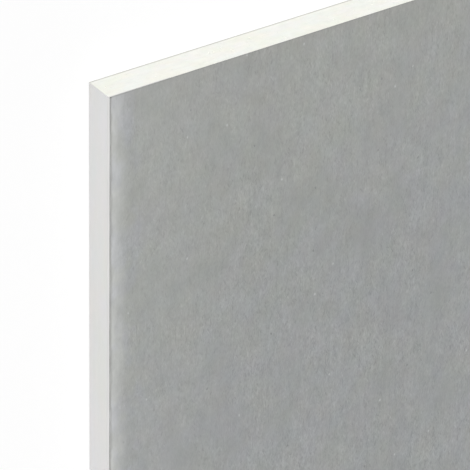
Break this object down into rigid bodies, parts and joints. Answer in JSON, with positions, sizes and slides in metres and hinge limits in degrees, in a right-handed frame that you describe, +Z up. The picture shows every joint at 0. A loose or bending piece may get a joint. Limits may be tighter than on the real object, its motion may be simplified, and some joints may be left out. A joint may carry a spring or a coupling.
{
  "type": "drywall sheet",
  "caption": "Square-edge drywall sheet lying flat: gypsum core between an ivory liner folded round the long edges and a grey liner lapped over it.",
  "frame": {"origin": "centre of the underside of the sheet as it lies flat", "axes": "+X across the width, +Y along the paper-bound long edges, +Z up out of the grey side"},
  "size_m": [1.2, 2.4, 0.0125],
  "materials": {
    "gypsum": "matte",
    "ivory_paper": "matte",
    "grey_paper": "matte"
  },
  "bodies": {
    "root": {"gypsum_core": "gypsum", "ivory_liner": "ivory_paper", "grey_liner": "grey_paper"}
  },
  "joints": []
}
